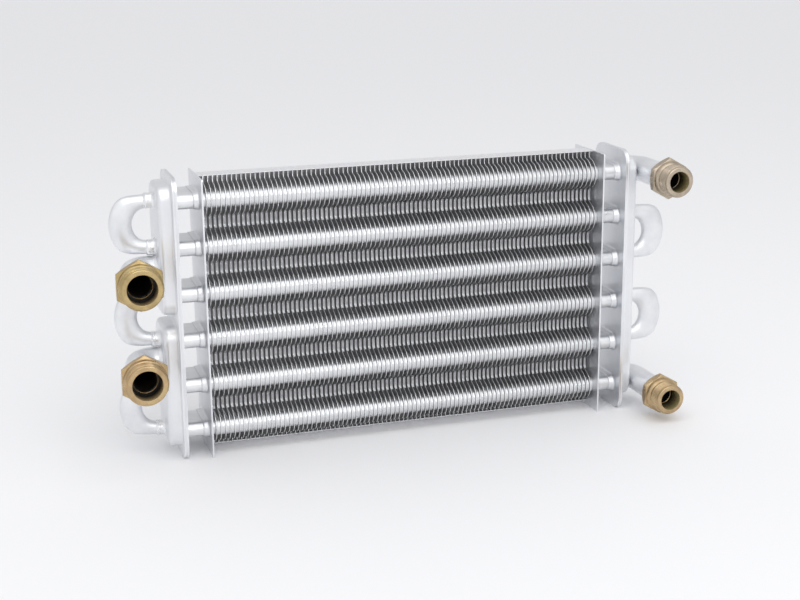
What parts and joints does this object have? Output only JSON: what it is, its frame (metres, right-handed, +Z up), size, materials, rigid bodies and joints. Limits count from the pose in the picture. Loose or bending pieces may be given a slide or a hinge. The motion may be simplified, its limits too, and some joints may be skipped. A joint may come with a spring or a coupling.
{
  "type": "boiler heat exchanger",
  "caption": "Boiler heat exchanger: oval tubes through a pack of thin fins, with end plates, headers, U-bends and brass screw fittings",
  "frame": {"origin": "bottom centre of the whole object's bounding box", "axes": "X runs along the tubes towards the tap-water end, Y from the fittings' side to the back, Z up"},
  "size_m": [0.3823, 0.084, 0.1815],
  "materials": {
    "coated_fins": "satin silver coating on copper sheet",
    "coated_tubes": "satin silver coating on copper tube",
    "inner_tubes": "satin silver coating on copper tube",
    "coated_plates": "satin silver coating on pressed sheet",
    "coated_pipes": "satin silver coating on copper tube",
    "brass_golden": "turned",
    "brass_pink": "turned",
    "brass_tan": "turned"
  },
  "bodies": {
    "root": {"fin_pack": "coated_fins", "header_left": "coated_plates", "header_right": "coated_plates", "heating_fitting_lower": "brass_pink", "heating_fitting_upper": "brass_golden", "heating_pipe_lower": "coated_pipes", "heating_pipe_upper": "coated_pipes", "inner_plate_left": "coated_plates", "inner_plate_right": "coated_plates", "inner_tube_1": "inner_tubes", "inner_tube_2": "inner_tubes", "inner_tube_3": "inner_tubes", "inner_tube_4": "inner_tubes", "inner_tube_5": "inner_tubes", "inner_tube_6": "inner_tubes", "outer_tube_1": "coated_tubes", "outer_tube_2": "coated_tubes", "outer_tube_3": "coated_tubes", "outer_tube_4": "coated_tubes", "outer_tube_5": "coated_tubes", "outer_tube_6": "coated_tubes", "tube_plate_left": "coated_plates", "tube_plate_right": "coated_plates", "water_bend_left_bottom": "coated_pipes", "water_bend_left_middle": "coated_pipes", "water_bend_left_top": "coated_pipes", "water_bend_right_lower": "coated_pipes", "water_bend_right_upper": "coated_pipes", "water_fitting_lower": "brass_tan", "water_fitting_upper": "brass_tan", "water_pipe_lower": "coated_pipes", "water_pipe_upper": "coated_pipes"}
  },
  "joints": []
}
